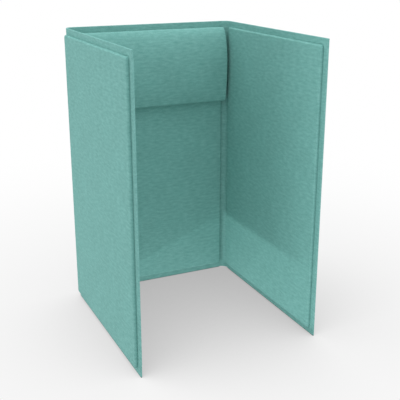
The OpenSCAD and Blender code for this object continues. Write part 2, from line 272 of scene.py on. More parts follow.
def woven_wool(cloth):
    """Woven wool upholstery cloth, carded and dyed in the wool, so that fibres of three near shades
    mix in the yarn: soft, matt, with a short nap that catches grazing light and slubs that streak
    along the weft."""
    material, tree, shader = new_material(
        "woven_wool",
        {"Roughness": 0.92, "IOR": 1.45, "Sheen Weight": 0.12, "Sheen Roughness": 0.45,
         "Sheen Tint": to_linear("#B4E2DB"), "Specular IOR Level": 0.15},
    )
    place = add_node(tree, "ShaderNodeUVMap", uv_map=PATTERN)

    # The real threads lie about 1.4 mm apart. They are drawn coarser, so that they show from a step
    # away. Each strays by up to a sixth of its width, over 9 mm.
    stray = (cloth.thread * 0.35,) * 3
    wander = add_node(tree, "ShaderNodeTexNoise",
                      {"Vector": place, "Scale": 1 / (9 * MM), "Detail": 1.0})
    wander = vector_maths(tree, "ADD", wander.outputs["Color"], (-0.5, -0.5, -0.5))
    wander = vector_maths(tree, "MULTIPLY", wander, stray)
    threads = vector_maths(tree, "ADD", place, wander)
    waves = vector_maths(tree, "MULTIPLY", threads, (math.pi / cloth.thread,) * 3)
    waves = vector_maths(tree, "SINE", waves)
    waves = vector_maths(tree, "ABSOLUTE", waves)
    across = add_node(tree, "ShaderNodeSeparateXYZ", {"Vector": waves}).outputs
    # Each thread is round across, and dips by 45 parts in 100 where it goes under the next
    passes = []
    for thread, crossing in ((across["X"], across["Y"]), (across["Y"], across["X"])):
        arch = maths(tree, "MULTIPLY_ADD", crossing, 0.45, 0.55)
        passes.append(maths(tree, "MULTIPLY", thread, arch))
    over = add_node(tree, "ShaderNodeTexChecker", {"Vector": threads, "Scale": 1 / cloth.thread})
    weave = add_node(tree, "ShaderNodeMix",
                     {"Factor": over.outputs["Fac"], "A": passes[0], "B": passes[1]},
                     data_type="FLOAT")

    # Melange: slubs three times as long as wide, drawn out along the weft, then single fibres,
    # finer again
    streak = (1 / cloth.slub, 3.2 / cloth.slub, 1.0)
    stretched = vector_maths(tree, "MULTIPLY", place, streak)
    slubs = add_node(tree, "ShaderNodeTexNoise", {"Vector": stretched, "Scale": 1.0, "Detail": 2.0,
                                                 "Roughness": 0.5})
    fine = vector_maths(tree, "MULTIPLY", stretched, (6.0, 3.7, 1.0))
    fibres = add_node(tree, "ShaderNodeTexNoise", {"Vector": fine, "Scale": 1.0, "Detail": 2.0})
    melange = add_node(tree, "ShaderNodeMix", {"Factor": 0.5, "A": slubs, "B": fibres},
                       data_type="FLOAT")
    shades = add_node(tree, "ShaderNodeValToRGB", {"Fac": melange})
    ramp = shades.color_ramp
    ramp.elements[0].position, ramp.elements[0].color = 0.3, cloth.dark_fibre
    ramp.elements[1].position, ramp.elements[1].color = 0.7, cloth.light_fibre
    ramp.elements.new(0.5).color = cloth.base

    # Dye takes a little unevenly over a hand's width, and shade is painted in between the threads
    broad = add_node(tree, "ShaderNodeTexNoise",
                     {"Vector": place, "Scale": 1 / (140 * MM), "Detail": 2.0})
    broad = add_node(tree, "ShaderNodeMapRange", {"Value": broad, "From Min": 0.3, "From Max": 0.7,
                                                 "To Min": 0.97, "To Max": 1.03})
    # Painted shade: the colour is darkened to 0.8 between the threads
    painted_gap_shade = add_node(tree, "ShaderNodeMapRange", {"Value": weave, "From Min": 0.0, "From Max": 0.55,
                                                "To Min": 0.8, "To Max": 1.0})
    # The uneven dye times the painted shade between threads
    shade = maths(tree, "MULTIPLY", broad, painted_gap_shade)
    coloured = vector_maths(tree, "SCALE", shades, Scale=shade)
    tree.links.new(coloured.outputs["Vector"], shader.inputs["Base Color"])

    relief = maths(tree, "MULTIPLY_ADD", melange, 1.3, weave)
    bump = add_node(tree, "ShaderNodeBump",
                    {"Height": relief, "Distance": 0.5 * MM, "Strength": 0.55})
    tree.links.new(bump.outputs["Normal"], shader.inputs["Normal"])
    return material


def plain_finish(name, roughness, ior, sheen, dark, light, grain, relief, detail):
    """A finish on object coordinates: noise between two colours, with grain as its size along X, Y
    and Z and relief as the height of its bumps, both in millimetres."""
    material, tree, shader = new_material(
        name, {"Roughness": roughness, "IOR": ior, "Sheen Weight": sheen})
    place = add_node(tree, "ShaderNodeTexCoord").outputs["Object"]
    size = [1 / (g * MM) for g in grain]
    scaled = vector_maths(tree, "MULTIPLY", place, size)
    noise = add_node(tree, "ShaderNodeTexNoise", {"Vector": scaled, "Scale": 1.0, "Detail": detail})
    shades = add_node(tree, "ShaderNodeValToRGB", {"Fac": noise})
    ramp = shades.color_ramp
    ramp.elements[0].position, ramp.elements[0].color = 0.35, to_linear(dark)
    ramp.elements[1].position, ramp.elements[1].color = 0.65, to_linear(light)
    tree.links.new(shades.outputs["Color"], shader.inputs["Base Color"])
    bump = add_node(tree, "ShaderNodeBump",
                    {"Height": noise, "Distance": relief * MM, "Strength": 0.6})
    tree.links.new(bump.outputs["Normal"], shader.inputs["Normal"])
    return material


# Meshes made of grids of points


class Patchwork:
    """A mesh sewn from grids of points. Points that coincide become one vertex, and every face
    keeps its own place in the cloth's pattern."""

    def __init__(self):
        self.points = []
        self.pattern = []
        self.faces = []
        self.count = 0

    def add(self, points, pattern):
        """Adds a grid. Its faces look along the step to the next column crossed with that to the
        next row."""
        rows, columns = points.shape[:2]
        index = self.count + np.arange(rows * columns).reshape(rows, columns)
        quads = np.stack([index[:-1, :-1], index[:-1, 1:], index[1:, 1:], index[1:, :-1]], axis=-1)
        self.faces.append(quads.reshape(-1, 4))
        self.points.append(points.reshape(-1, 3))
        self.pattern.append(pattern.reshape(-1, 2))
        self.count += rows * columns

    def place(self, side):
        """Takes every point from the axes of a side to those of the whole screen."""
        self.points = [side.place(points) for points in self.points]

    def mesh(self, name):
        """The sewn mesh, smooth, with its pattern as a UV map."""
        points = np.concatenate(self.points)
        pattern = np.concatenate(self.pattern)
        _, first, vertex = np.unique(
            np.round(points / WELD), axis=0, return_index=True, return_inverse=True)
        vertex = vertex.ravel()
        faces, corners = [], []
        for face in np.concatenate(self.faces):
            kept = [c for k, c in enumerate(face) if vertex[c] != vertex[face[k - 1]]]
            if len(kept) > 2:
                faces.append([int(vertex[c]) for c in kept])
                corners.extend(kept)
        mesh = bpy.data.meshes.new(name)
        mesh.from_pydata(points[first].tolist(), [], faces)
        flat = pattern[corners].astype(np.float32).ravel()
        mesh.uv_layers.new(name=PATTERN).uv.foreach_set("vector", flat)
        mesh.shade_smooth()
        return mesh


def new_piece(mesh, material):
    """An object for a mesh whose vertices are already in place."""
    piece = bpy.data.objects.new(mesh.name, mesh)
    bpy.context.scene.collection.objects.link(piece)
    mesh.materials.clear()
    mesh.materials.append(material)
    return piece


def coordinates(mesh):
    """The places of a mesh's vertices, a row each."""
    flat = np.empty(len(mesh.vertices) * 3)
    mesh.vertices.foreach_get("co", flat)
    return flat.reshape(-1, 3)


class Side:
    """A face that carries a pad, with axes along the panel, outwards and up and an origin on it."""

    def __init__(self, outwards, origin):
        self.out = Vector(outwards)
        self.along = self.out.cross(Vector((0, 0, 1)))
        self.origin = Vector(origin)
        self.axes = np.array([self.along, self.out, (0, 0, 1)])

    def place(self, points):
        """Local points, as rows of (along, outwards, up), in the frame of the whole screen."""
        return points @ self.axes + np.array(self.origin)

    def local(self, points):
        """Points of the whole screen in the axes of this side."""
        return (points - np.array(self.origin)) @ self.axes.T


def swell(pieces, pressure, most, frames=20):
    """Lets the foam push each cover out: a cloth simulation under pressure, held by the vertex
    group "held". The swell is scaled down so that no point moves by more than most."""
    rest = {}
    for piece in pieces:
        rest[piece.name] = coordinates(piece.data)
        cloth = piece.modifiers.new("Swell", "CLOTH")
        cloth.point_cache.frame_start = 1
        cloth.point_cache.frame_end = frames
        cloth.settings.vertex_group_mass = "held"
        cloth.settings.use_pressure = True
        cloth.settings.uniform_pressure_force = pressure
        cloth.settings.effector_weights.gravity = 0
        cloth.collision_settings.use_collision = False
        cloth.collision_settings.use_self_collision = False
    for step in range(1, frames + 1):
        bpy.context.scene.frame_set(step)
    depsgraph = bpy.context.evaluated_depsgraph_get()
    swollen = {piece.name: coordinates(piece.evaluated_get(depsgraph).data) for piece in pieces}
    for piece in pieces:
        piece.modifiers.remove(piece.modifiers["Swell"])
        move = swollen[piece.name] - rest[piece.name]
        normals = np.empty(move.size)
        piece.data.vertices.foreach_get("normal", normals)
        normals = normals.reshape(-1, 3)
        inwards = np.minimum((move * normals).sum(axis=1, keepdims=True), 0)
        move = move - inwards * normals
        far = np.linalg.norm(move, axis=1, keepdims=True)
        place = rest[piece.name] + move * min(1, most / far.max())
        piece.data.vertices.foreach_set("co", place.ravel())
        piece.data.update()
    bpy.context.scene.frame_set(1)


def thicken(piece, thickness):
    """Gives a cover the thickness of its cloth, inwards."""
    wall = piece.modifiers.new("Cloth thickness", "SOLIDIFY")
    wall.thickness = thickness
    wall.offset = -1


def hold(piece, weights):
    """Puts each vertex in the group "held" with its weight."""
    group = piece.vertex_groups.new(name="held")
    for index, weight in enumerate(weights):
        group.add([index], float(weight), "REPLACE")


# Flange


def new_group(name, sizes):
    """A geometry node group that takes a path and named sizes, with the sockets of its inputs."""
    tree = bpy.data.node_groups.new(name, "GeometryNodeTree")
    tree.interface.new_socket("Geometry", in_out="INPUT", socket_type="NodeSocketGeometry")
    for size in sizes:
        kind = "NodeSocketInt" if size.endswith("Steps") else "NodeSocketFloat"
        tree.interface.new_socket(size, in_out="INPUT", socket_type=kind)
    tree.interface.new_socket("Geometry", in_out="OUTPUT", socket_type="NodeSocketGeometry")
    return tree, add_node(tree, "NodeGroupInput").outputs


def end_group(tree, geometry, material):
    """Ends a group in smooth, real geometry with its material."""
    smooth = add_node(tree, "GeometryNodeSetShadeSmooth", {"Geometry": geometry})
    real = add_node(tree, "GeometryNodeRealizeInstances", {"Geometry": smooth})
    finished = add_node(tree, "GeometryNodeSetMaterial", {"Geometry": real, "Material": material})
    add_node(tree, "NodeGroupOutput", {"Geometry": finished})
    return tree


def sweep_tree(material):
    """Geometry nodes that carry a rounded section along a path, and keep the cloth's pattern as a
    UV map: along the path for u, and round the section for v."""
    tree, given = new_group("Wrapped section", ("Thickness", "Height", "Edge Radius", "Edge Steps"))
    square = add_node(tree, "GeometryNodeCurvePrimitiveQuadrilateral",
                      {"Width": given["Thickness"], "Height": given["Height"]}, mode="RECTANGLE")
    section = add_node(
        tree, "GeometryNodeFilletCurve",
        {"Curve": square, "Count": given["Edge Steps"], "Radius": given["Edge Radius"]},
        mode="POLY")
    measured = []
    for name, curve in (("u", given["Geometry"]), ("v", section)):
        along = add_node(tree, "GeometryNodeSplineParameter").outputs["Length"]
        kept = add_node(tree, "GeometryNodeCaptureAttribute", {"Geometry": curve}, domain="POINT")
        kept.capture_items.new("FLOAT", name)
        tree.links.new(along, kept.inputs[1])
        measured.append(kept.outputs)
    path, section = measured
    swept = add_node(tree, "GeometryNodeCurveToMesh",
                     {"Curve": path[0], "Profile Curve": section[0], "Fill Caps": True})
    pattern = add_node(tree, "ShaderNodeCombineXYZ", {"X": path[1], "Y": section[1]})
    mapped = add_node(tree, "GeometryNodeStoreNamedAttribute",
                      {"Geometry": swept, "Name": PATTERN, "Value": pattern},
                      data_type="FLOAT2", domain="CORNER")
    return end_group(tree, mapped, material)


def grow(name, points, tree, sizes, material):
    """The mesh that a geometry node tree makes along a path of points, as a plain piece."""
    curve = bpy.data.curves.new(name, "CURVE")
    curve.dimensions = "3D"
    curve.twist_mode = "Z_UP"
    spline = curve.splines.new("POLY")
    spline.points.add(len(points) - 1)
    for point, place in zip(spline.points, points):
        point.co = (*place, 1)
    path = bpy.data.objects.new(name + "_path", curve)
    bpy.context.scene.collection.objects.link(path)
    modifier = path.modifiers.new("Grow", "NODES")
    modifier.node_group = tree
    sockets = {s.name: s.identifier for s in tree.interface.items_tree if s.in_out == "INPUT"}
    for size, value in sizes.items():
        modifier[sockets[size]] = value
    depsgraph = bpy.context.evaluated_depsgraph_get()
    mesh = bpy.data.meshes.new_from_object(path.evaluated_get(depsgraph))
    mesh.name = name
    path.modifiers.remove(modifier)
    bpy.data.objects.remove(path)
    return new_piece(mesh, material)


def soften_end(piece, radius, steps, at_end):
    """Rounds the rim of the flat end whose points at_end picks."""
    weights = piece.data.attributes.new("bevel_weight_edge", "FLOAT", "EDGE")
    places = coordinates(piece.data)
    for edge in piece.data.edges:
        weights.data[edge.index].value = float(all(at_end(places[v]) for v in edge.vertices))
    bevel = piece.modifiers.new("Soft end", "BEVEL")
    bevel.limit_method = "WEIGHT"
    bevel.width = radius
    bevel.segments = steps


def flatten_shading(piece):
    """Keeps the broad faces beside a narrow rounded edge flat in the light."""
    level = piece.modifiers.new("Flat faces", "WEIGHTED_NORMAL")
    level.keep_sharp = True


def bend_path(side, plan, steps):
    """Points round a back corner, from the back to the wing. side is -1 on the left and 1 on the
    right."""
    x, y, radius = plan["turn_x"], plan["turn_y"], plan["radius"]
    angles = [QUARTER * step / steps for step in range(steps + 1)]
    return [(side * (x + radius * math.sin(angle)), y + radius * math.cos(angle))
            for angle in angles]


def at_height(points, z):
    """Points of the plan, lifted to a height."""
    return [(x, y, z) for x, y in points]


class PARTITION_OT_flange(bpy.types.Operator):
    """Wrap the flange of the back and the wings in cloth, and bend it round the two back corners"""

    bl_idname = "partition.flange"
    bl_label = "Flange"

    def execute(self, context):
        flange = context.scene.partition_flange
        plan = flange_plan()
        middle = (plan["low"] + plan["high"]) / 2
        wool = material_of("woven_wool")
        tree = sweep_tree(wool)
        sizes = {
            "Thickness": plan["thick"],
            "Height": plan["high"] - plan["low"],
            "Edge Radius": flange.edge_radius,
            "Edge Steps": flange.edge_steps,
        }
        back_y = plan["turn_y"] + plan["radius"]
        run = [(-plan["turn_x"], back_y), (plan["turn_x"], back_y)]
        back = grow("back_flange_cloth", at_height(run, middle), tree, sizes, wool)
        flatten_shading(back)
        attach(back, "back")
        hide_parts("back_core_sleeve")
        for name, side in (("left", -1), ("right", 1)):
            self.wing(name, side, plan, middle, tree, sizes, wool)
            self.bend(name, side, plan, middle, tree, sizes, wool)
        return {"FINISHED"}

    def wing(self, name, side, plan, middle, tree, sizes, wool):
        """One wing's flange, with a soft front end."""
        flange = bpy.context.scene.partition_flange
        x = side * (plan["turn_x"] + plan["radius"])
        run = [(x, plan["turn_y"]), (x, plan["front"])]
        piece = grow(name + "_flange_cloth", at_height(run, middle), tree, sizes, wool)
        # A little less than the edges' own radius, so that the two don't meet
        soften_end(piece, flange.edge_radius * 0.9, flange.edge_steps,
                   lambda p: p[1] < plan["front"] + WELD)
        flatten_shading(piece)
        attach(piece, name + "_wing")
        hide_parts(name + "_core_sleeve")

    def bend(self, name, side, plan, middle, tree, sizes, wool):
        """One back corner's cloth and the web in it."""
        flange = bpy.context.scene.partition_flange
        outline = bend_path(side, plan, flange.bend_steps)
        cloth = grow(name + "_bend_cloth", at_height(outline, middle), tree, sizes, wool)
        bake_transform(cloth)
        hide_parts(name + "_corner_sleeve")

        low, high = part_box(name + "_corner_web")
        core_low, core_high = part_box("back_core_board")
        web_sizes = {
            "Thickness": core_high.y - core_low.y,
            "Height": high.z - low.z,
            "Edge Radius": flange.web_edge_radius,
            "Edge Steps": flange.edge_steps,
        }
        rubber = material_of("foam_rubber")
        run = at_height(outline, (low.z + high.z) / 2)
        web = grow(name + "_bend_web", run, tree, web_sizes, rubber)
        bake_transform(web)
        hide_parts(name + "_corner_web")


# Pads


def soft_rows(size, pads, spacing):
    """Places of the grid lines across a pad: close together over its soft edges, then even."""
    turns = np.linspace(0, QUARTER, EDGE_ROWS + 1)
    corner = pads.corner_radius
    edge = pads.edge_radius * (1 - np.cos(turns))
    near = np.array([*edge, (pads.edge_radius + corner) / 2, corner])
    steps = max(2, round((size - 4 * corner) / spacing))
    even = np.linspace(2 * corner, size - 2 * corner, steps + 1)
    return np.concatenate([near, even, size - near[::-1]]) - size / 2


def drawn_in(x, z, half_x, half_z, corner, inset):
    """Moves points of a rectangle onto the rounded outline that lies inset inside its edge."""
    from_x, from_z = half_x - abs(x), half_z - abs(z)
    in_corner = (from_x < corner) & (from_z < corner)
    reach_x, reach_z = corner - from_x, corner - from_z
    reach = np.maximum(np.hypot(reach_x, reach_z), 1e-9)
    radius = np.maximum(corner - inset, LEAST)
    centre = np.maximum(corner, inset + LEAST)
    round_x, round_z = centre - radius * reach_x / reach, centre - radius * reach_z / reach
    near_x = from_x <= from_z
    least = np.where(inset > corner, centre, 0)
    flat_x = np.where(near_x, inset, np.maximum(from_x, least))
    flat_z = np.where(near_x, np.maximum(from_z, least), inset)
    new_x, new_z = np.where(in_corner, round_x, flat_x), np.where(in_corner, round_z, flat_z)
    return np.sign(x) * (half_x - new_x), np.sign(z) * (half_z - new_z)


def rim(grid):
    """The border of a grid, once round, with its first entry again at the end."""
    return np.concatenate([grid[0, :-1], grid[:-1, -1], grid[-1, :0:-1], grid[::-1, 0]])


def pad_grids(width, height, depth, pads, spacing):
    """A pad's face as grids: x and z before and after its corners are rounded, its height and its
    pattern."""
    lines_x, lines_z = soft_rows(width, pads, spacing), soft_rows(height, pads, spacing)
    x, z = np.meshgrid(lines_x, lines_z)
    soft, corner = pads.edge_radius, pads.corner_radius
    inside = np.minimum(width / 2 - abs(x), height / 2 - abs(z))
    plan_x, plan_z = drawn_in(x, z, width / 2, height / 2, corner, inside)
    short = np.clip(soft - inside, 0, soft)
    out = depth - soft + np.sqrt(soft**2 - short**2)
    unrolled = np.where(inside < soft, soft - soft * np.arcsin(short / soft), inside)
    flat_x, flat_z = drawn_in(x, z, width / 2, height / 2, corner, unrolled)
    return x, z, plan_x, plan_z, out, flat_x, flat_z


def under_rows(depth, pads):
    """The cover's way from its soft edge down the side and in behind the pad, as inset, height and
    cloth used."""
    soft, tuck = pads.edge_radius, pads.tuck_radius
    used = soft * (QUARTER - 1)
    wall = depth - soft - tuck
    rows = [(0, depth - soft - wall * share, used + wall * share) for share in (0, 1 / 3, 2 / 3, 1)]
    for step in range(1, TUCK_ROWS + 1):
        angle = QUARTER * step / TUCK_ROWS
        inset, level = tuck * (1 - math.cos(angle)), tuck * (1 - math.sin(angle))
        rows.append((inset, level, used + wall + tuck * angle))
    rows.append((pads.hem, 0, rows[-1][2] + pads.hem - tuck))
    return rows


def pulled(x, z, out, pads, seed):
    """Sinks the soft edge a little between the cover's fixings, unevenly, as hand-stretched cloth
    does."""
    random = np.random.default_rng(seed)
    run = np.where(abs(x) / abs(x).max() > abs(z) / abs(z).max(), z, x)
    phase = random.uniform(0, 2 * math.pi)
    # The distance between fixings wavers once in nearly four of them
    slow = 3.7 * pads.pull_pitch
    waver = 0.6 * np.sin(run / slow * 2 * math.pi + random.uniform(0, 2 * math.pi))
    wave = 0.5 + 0.5 * np.cos(run / pads.pull_pitch * 2 * math.pi + phase + waver)
    inside = np.minimum(abs(x).max() - abs(x), abs(z).max() - abs(z))
    band = np.exp(-(((inside - 0.6 * pads.edge_radius) / pads.edge_radius) ** 2))
    return out - pads.pull * wave * band


def pad_cover(name, width, height, depth, side, pads, seed, material):
    """One pad's cover: a face with soft edges, a side all round and a hem behind."""
    x, z, plan_x, plan_z, out, flat_x, flat_z = pad_grids(width, height, depth, pads, pads.spacing)
    out = pulled(x, z, out, pads, seed)
    sewn = Patchwork()
    face, flat = np.stack([plan_x, out, plan_z], axis=-1), np.stack([flat_x, flat_z], axis=-1)
    sewn.add(face[::-1], flat[::-1])
    outline = rim(x), rim(z), width / 2, height / 2, pads.corner_radius
    ones = np.ones(len(outline[0]))
    rings, pattern = [], []
    for inset, level, used in under_rows(depth, pads):
        ring_x, ring_z = drawn_in(*outline, inset * ones)
        ring_out = level * ones if rings else rim(out)
        rings.append(np.stack([ring_x, ring_out, ring_z], axis=-1))
        pattern.append(np.stack(drawn_in(*outline, -used * ones), axis=-1))
    sewn.add(np.array(rings), np.array(pattern))
    sewn.place(side)
    piece = new_piece(sewn.mesh(name), material)
    above = side.local(coordinates(piece.data))[:, 1] - (depth - pads.edge_radius)
    level = above / pads.edge_radius
    hold(piece, 1 - np.clip(level, 0, 1) ** 3)
    return piece


def pad_foam(name, cover_name, board_name, side, pads, material):
    """The foam slab between a pad's board and its cover: two faces, and a side all round."""
    width, height, depth = pad_size(cover_name, side)
    _, _, board_top = pad_size(board_name, side)
    draw = pads.cloth + CLEARANCE
    inner = SimpleNamespace(
        edge_radius=pads.edge_radius - draw, corner_radius=pads.corner_radius - draw)
    _, _, plan_x, plan_z, out, flat_x, flat_z = pad_grids(
        width - 2 * draw, height - 2 * draw, depth - draw, inner, FOAM_COARSER * pads.spacing)
    flat = np.stack([flat_x, flat_z], axis=-1)
    front = np.stack([plan_x, out, plan_z], axis=-1)
    back = np.stack([plan_x, np.full(out.shape, board_top + CLEARANCE), plan_z], axis=-1)
    sewn = Patchwork()
    sewn.add(front[::-1], flat[::-1])
    sewn.add(back, flat)
    sewn.add(np.array([rim(front), rim(back)]), np.array([rim(flat), rim(flat)]))
    sewn.place(side)
    return new_piece(sewn.mesh(name), material)


def pad_size(node, side):
    """Width, height and reach above the flange of a packed pad piece, in the axes of its side."""
    low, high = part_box(node)
    spans = [(Vector(c) - side.origin) for c in (low, high)]
    width = abs((spans[1] - spans[0]).dot(side.along))
    reach = max(s.dot(side.out) for s in spans)
    return width, high.z - low.z, reach


def pad_side(node, outwards):
    """The face of the flange that a pad's cover lies on, under the middle of the pad."""
    low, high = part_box(node)
    out = Vector(outwards)
    middle = (low + high) / 2
    corner = Vector((low.x if out.x > 0 else high.x, low.y if out.y > 0 else high.y, 0))
    origin = Vector((corner.x if out.x else middle.x, corner.y if out.y else middle.y, middle.z))
    return Side(outwards, origin)


class PARTITION_OT_pads(bpy.types.Operator):
    """Cover the six pads in cloth over their foam"""

    bl_idname = "partition.pads"
    bl_label = "Pads"

    def execute(self, context):
        pads = context.scene.partition_pads
        wool, foam = material_of("woven_wool"), material_of("open_cell_foam")
        places = (
            ("back_inner", "back", (0, -1, 0)),
            ("back_outer", "back", (0, 1, 0)),
            ("left_inner", "left_wing", (1, 0, 0)),
            ("left_outer", "left_wing", (-1, 0, 0)),
            ("right_inner", "right_wing", (-1, 0, 0)),
            ("right_outer", "right_wing", (1, 0, 0)),
        )
        covers = []
        for seed, (name, body, outwards) in enumerate(places):
            node = name + "_pad_cover"
            side = pad_side(node, outwards)
            width, height, depth = pad_size(node, side)
            cover = pad_cover(name + "_pad_cloth", width, height, depth, side, pads, seed, wool)
            covers.append((cover, body, node))
            slab = pad_foam(name + "_pad_filling", node, name + "_pad_board", side, pads, foam)
            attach(slab, body)
            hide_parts(name + "_pad_foam")
        swell([cover for cover, _, _ in covers], pressure=0.6, most=pads.crown)
        for cover, body, node in covers:
            thicken(cover, pads.cloth)
            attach(cover, body)
            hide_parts(node)
        return {"FINISHED"}


# Headrest


def rest_front(rest, low, high):
    """The cushion's front as rows of (depth, height), from its top edge to its underside, at even
    steps."""
    t = np.linspace(0, 1, CURVE_SAMPLES)[:, None]
    handles = np.array([
        (rest.top_depth, high),
        (rest.upper_pull, high - rest.upper_drop),
        (rest.lower_pull, low + rest.lower_rise),
        (rest.low_depth, low + rest.low_radius),
    ])
    shares = ((1 - t) ** 3, 3 * (1 - t) ** 2 * t, 3 * (1 - t) * t**2, t**3)
    curve = sum(share * handle for share, handle in zip(shares, handles))
    run = travelled(curve)
    even = np.linspace(0, run[-1], round(run[-1] / rest.spacing) + 1)
    front = np.stack([np.interp(even, run, curve[:, k]) for k in (0, 1)], axis=-1)
    turns = np.linspace(0, QUARTER, CORNER_ROWS + 1)[1:]
    corner = np.stack([rest.low_depth - rest.low_radius * (1 - np.cos(turns)),
                       low + rest.low_radius * (1 - np.sin(turns))], axis=-1)
    return np.concatenate([front, corner])


def travelled(line):
    """How far along a line of points each one lies."""
    return np.concatenate([[0], np.cumsum(np.linalg.norm(np.diff(line, axis=0), axis=1))])


def rest_ends(rest, half, draw):
    """Stations over one end of the cushion, as (place along it, inset). The cover, with no draw,
    has a soft edge, then the groove of its sewn seam, then the end panel. The filling, drawn in,
    ends plain."""
    radius = rest.end_radius - draw
    ends = [(half - draw - radius * (1 - math.sin(turn)), draw + radius * (1 - math.cos(turn)))
            for turn in np.linspace(0, QUARTER, EDGE_ROWS + 1)]
    if draw:
        return ends
    seam, edge = rest.seam_depth, rest.end_radius
    groove = ((0, 0), (seam, 0.7 * seam), (0.1 * seam, 2.8 * seam), (0, 5 * seam))
    return [*ends[:-1], *((half - deep, edge + wide) for deep, wide in groove)]


def rest_section(front, low, high, inset, thinnest):
    """The front's rows, drawn in by inset."""
    middle = (low + high) / 2
    squeeze = 1 - 2 * inset / (high - low)
    depth = np.maximum(front[:, 0] - inset, thinnest)
    return np.stack([depth, middle + (front[:, 1] - middle) * squeeze], axis=-1)


def rest_shape(rest, half, low, high, seat, thinnest, draw=0, columns=4):
    """The cushion's skin, open behind: a Patchwork in (along, outwards, up), its sections and its
    rear rim."""
    front = rest_front(rest, low, high)
    right = rest_ends(rest, half, draw)
    reach = half - rest.end_radius
    middle = np.linspace(-reach, reach, round(2 * reach / rest.spacing) + 1)[1:-1]
    stations = [(-x, inset) for x, inset in right[::-1]] + [(x, draw) for x in middle] + right
    share = np.linspace(0, 1, columns + 1)
    sections, loops, pattern = [], [], []
    for x, inset in stations:
        rows = rest_section(front, low, high, inset, thinnest)
        depths = seat + (rows[[0, -1], 0] - seat)[:, None] * share
        over = np.stack([depths[0, :-1], np.full(columns, rows[0, 1])], axis=-1)
        under = np.stack([depths[1, -2::-1], np.full(columns, rows[-1, 1])], axis=-1)
        loop = np.concatenate([over, rows, under])
        run = travelled(loop)
        sections.append((x, rows))
        loops.append(np.column_stack([np.full(len(loop), x), loop]))
        pattern.append(np.column_stack([np.full(len(loop), x), high - run]))
    sewn = Patchwork()
    skin, flat = np.array(loops).transpose(1, 0, 2), np.array(pattern).transpose(1, 0, 2)
    sewn.add(skin, flat)
    rims = []
    for x, rows in (sections[0], sections[-1]):
        depths = seat + (rows[:, :1] - seat) * share
        heights = np.repeat(rows[:, 1:], columns + 1, axis=1)
        grid = np.stack([np.full(depths.shape, x), depths, heights], axis=-1)
        rims.append(grid[:, 0])
        grid = grid[::-1] if x > 0 else grid
        sewn.add(grid, grid[:, :, 1:])
    left, right = rims
    behind = np.concatenate([skin[0], right[1:], skin[-1, ::-1][1:], left[::-1][1:]])
    return sewn, sections, behind


def seam_path(side, section, inset):
    """The line of the seam round an end panel: over the top, down the front, under the cushion."""
    x, rows = section
    top, bottom = rows[0, 1], rows[-1, 1]
    line = np.concatenate([[(inset, top)], rows, [(inset, bottom)]])
    return side.place(np.column_stack([np.full(len(line), x), line]))


def stitch_tree(material):
    """Geometry nodes that sew a row of stitches along a path, each one a thread that dips into the
    cloth at its two ends."""
    tree, given = new_group("Row of stitches", ("Pitch", "Length", "Thread", "Rise"))
    places = add_node(tree, "GeometryNodeCurveToPoints",
                      {"Curve": given["Geometry"], "Length": given["Pitch"]}, mode="LENGTH")
    half = maths(tree, "MULTIPLY", given["Length"], 0.5)
    back = maths(tree, "MULTIPLY", given["Length"], -0.5)
    start = add_node(tree, "ShaderNodeCombineXYZ", {"Z": back})
    middle = add_node(tree, "ShaderNodeCombineXYZ", {"X": given["Rise"]})
    end = add_node(tree, "ShaderNodeCombineXYZ", {"Z": half})
    arch = add_node(tree, "GeometryNodeCurveQuadraticBezier",
                    {"Resolution": 6, "Start": start, "Middle": middle, "End": end})
    radius = maths(tree, "MULTIPLY", given["Thread"], 0.5)
    ring = add_node(tree, "GeometryNodeCurvePrimitiveCircle", {"Resolution": 6, "Radius": radius},
                    mode="RADIUS")
    thread = add_node(tree, "GeometryNodeCurveToMesh",
                      {"Curve": arch, "Profile Curve": ring, "Fill Caps": True})
    # The threads lean by up to 0.12 radians to either side, as hand-sewn ones do
    lean = add_node(tree, "FunctionNodeRandomValue",
                    {"Min": (-0.12, -0.12, -0.12), "Max": (0.12, 0.12, 0.12), "Seed": 7},
                    data_type="FLOAT_VECTOR")
    leant = add_node(tree, "FunctionNodeRotateRotation", {"Rotation": places.outputs["Rotation"],
                                                         "Rotate By": lean}, rotation_space="LOCAL")
    sewn = add_node(tree, "GeometryNodeInstanceOnPoints",
                    {"Points": places, "Instance": thread, "Rotation": leant})
    return end_group(tree, sewn, material)


